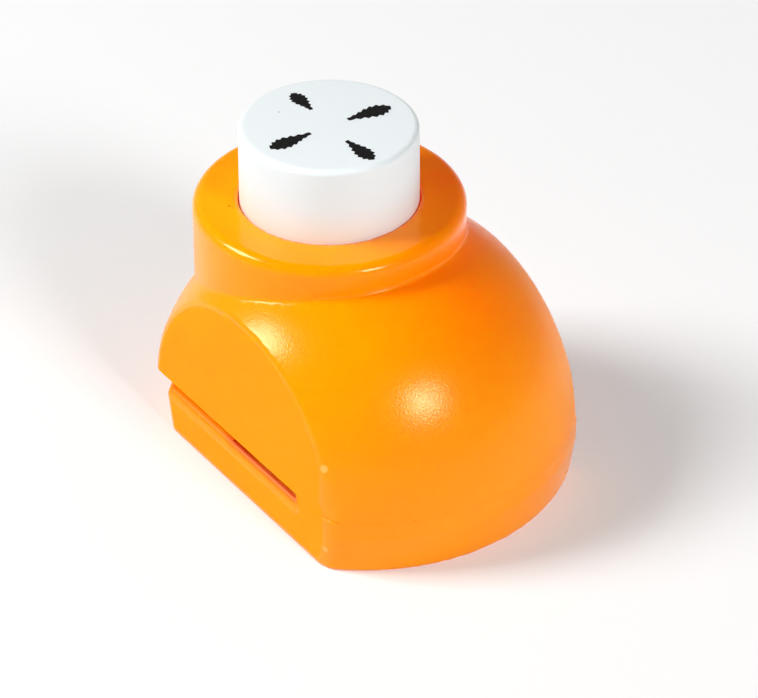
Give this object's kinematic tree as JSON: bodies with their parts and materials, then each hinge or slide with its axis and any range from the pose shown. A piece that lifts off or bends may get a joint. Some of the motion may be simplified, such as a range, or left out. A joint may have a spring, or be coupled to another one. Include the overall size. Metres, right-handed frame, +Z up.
{
  "type": "craft paper punch",
  "caption": "Small hand punch for leaf shapes: orange domed body with flat cheeks, a collar and a white push button over a side-open paper slot.",
  "frame": {"origin": "on the surface that the punch stands on, under the middle of the body", "axes": "+Z up, along the button's travel; -Y to the front, where the paper goes in; +X to the cheek on the right hand seen from the front"},
  "size_m": [0.034, 0.0488, 0.0392],
  "materials": {
    "orange_plastic": "moulded, glossy on the collar and finely grained on the dome",
    "white_plastic": "moulded, satin",
    "plate_steel": "stamped, plain",
    "punch_steel": "ground",
    "spring_steel": "drawn wire",
    "zinc_steel": "zinc plated"
  },
  "bodies": {
    "body": {"base_shell": "orange_plastic", "upper_shell": "orange_plastic", "die_plate": "plate_steel", "guide_plate": "plate_steel", "throat_spacer": "plate_steel", "spring_seat": "zinc_steel", "return_spring": "spring_steel", "block_screw_1": "zinc_steel", "block_screw_2": "zinc_steel", "shell_screw_1": "zinc_steel", "shell_screw_2": "zinc_steel", "shell_screw_3": "zinc_steel", "shell_screw_4": "zinc_steel"},
    "button": {"button_cap": "white_plastic", "backing_plate": "plate_steel", "punch_holder": "plate_steel", "carrier_screw": "zinc_steel", "leaf_punch_1": "punch_steel", "leaf_punch_2": "punch_steel", "leaf_punch_3": "punch_steel", "leaf_punch_4": "punch_steel"}
  },
  "joints": [
    {"name": "button_press", "type": "slide", "parent": "body", "child": "button", "axis": [0, 0, -1], "range_m": [0, 0.005], "stiffness_N_per_m": 800, "springref_m": -0.004, "deforming": ["return_spring"]}
  ]
}
